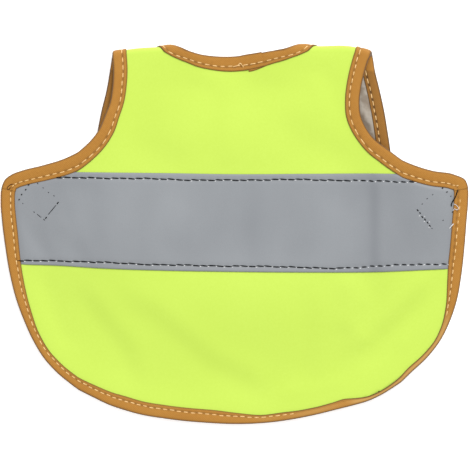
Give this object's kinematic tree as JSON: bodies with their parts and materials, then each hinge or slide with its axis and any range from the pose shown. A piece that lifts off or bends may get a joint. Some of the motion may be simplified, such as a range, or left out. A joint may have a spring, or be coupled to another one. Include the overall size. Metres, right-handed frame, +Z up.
{
  "type": "dog vest",
  "caption": "Bound cloth dog vest with a wide reflective band, folded at the shoulders and laid flat with its back up.",
  "frame": {"origin": "middle of the laid vest's footprint, on the surface it rests on", "axes": "+Z up through the cloth, from the table to the back; +Y from the hem to the shoulders; +X across the vest to the right as seen from above"},
  "size_m": [0.24, 0.1954, 0.0091],
  "materials": {
    "yellow_cloth": "bright yellow close-woven polyester, matt",
    "grey_lining": "thin grey-beige lining, crumpled",
    "reflective_silver": "grey reflective coated cloth, soft sheen",
    "mustard_tape": "mustard woven binding tape, matt",
    "hook_and_loop_tape": "yellow-green hook and loop tape, fuzzy"
  },
  "bodies": {
    "root": {"back_panel": "yellow_cloth", "chest_panel": "yellow_cloth", "chest_lining": "grey_lining", "reflective_band": "reflective_silver", "hem_binding": "mustard_tape", "armhole_chest_binding": "mustard_tape", "neck_binding": "mustard_tape", "hook_patch_left": "hook_and_loop_tape", "hook_patch_right": "hook_and_loop_tape", "loop_patch_left": "hook_and_loop_tape", "loop_patch_right": "hook_and_loop_tape"}
  },
  "joints": []
}
